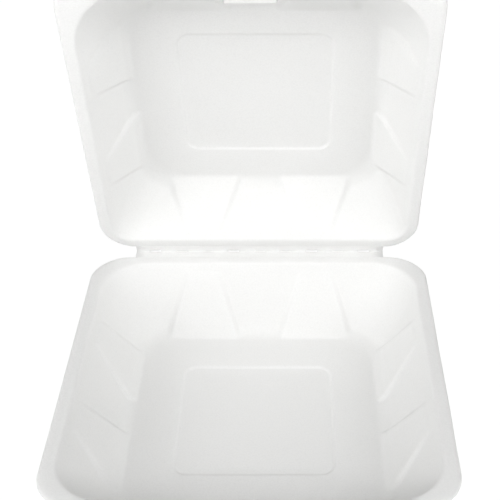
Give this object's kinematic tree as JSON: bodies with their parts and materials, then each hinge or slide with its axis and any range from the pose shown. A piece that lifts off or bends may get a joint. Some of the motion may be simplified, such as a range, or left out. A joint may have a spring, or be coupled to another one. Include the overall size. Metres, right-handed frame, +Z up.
{
  "type": "foam clamshell container",
  "caption": "Square hinged takeaway container of white foam, open, with ribbed sloping walls, a rim flange, a perforated hinge strip and a tongue-and-slot front closure.",
  "frame": {"origin": "centre of the flat foot face under the tray", "axes": "+X to the right along the hinge, +Y from the open front to the hinge, +Z up, out of the foot face"},
  "size_m": [0.213, 0.2472, 0.2553],
  "materials": {
    "foam": "matte expanded foam with a fine cell texture"
  },
  "bodies": {
    "base": {"base": "foam"},
    "lid": {"lid": "foam"}
  },
  "joints": [
    {"name": "lid_hinge", "type": "hinge", "parent": "base", "child": "lid", "pos_m": [0, 0.1115, 0.04425], "axis": [1, 0, 0], "range_deg": [-104.8, 75.2]}
  ]
}
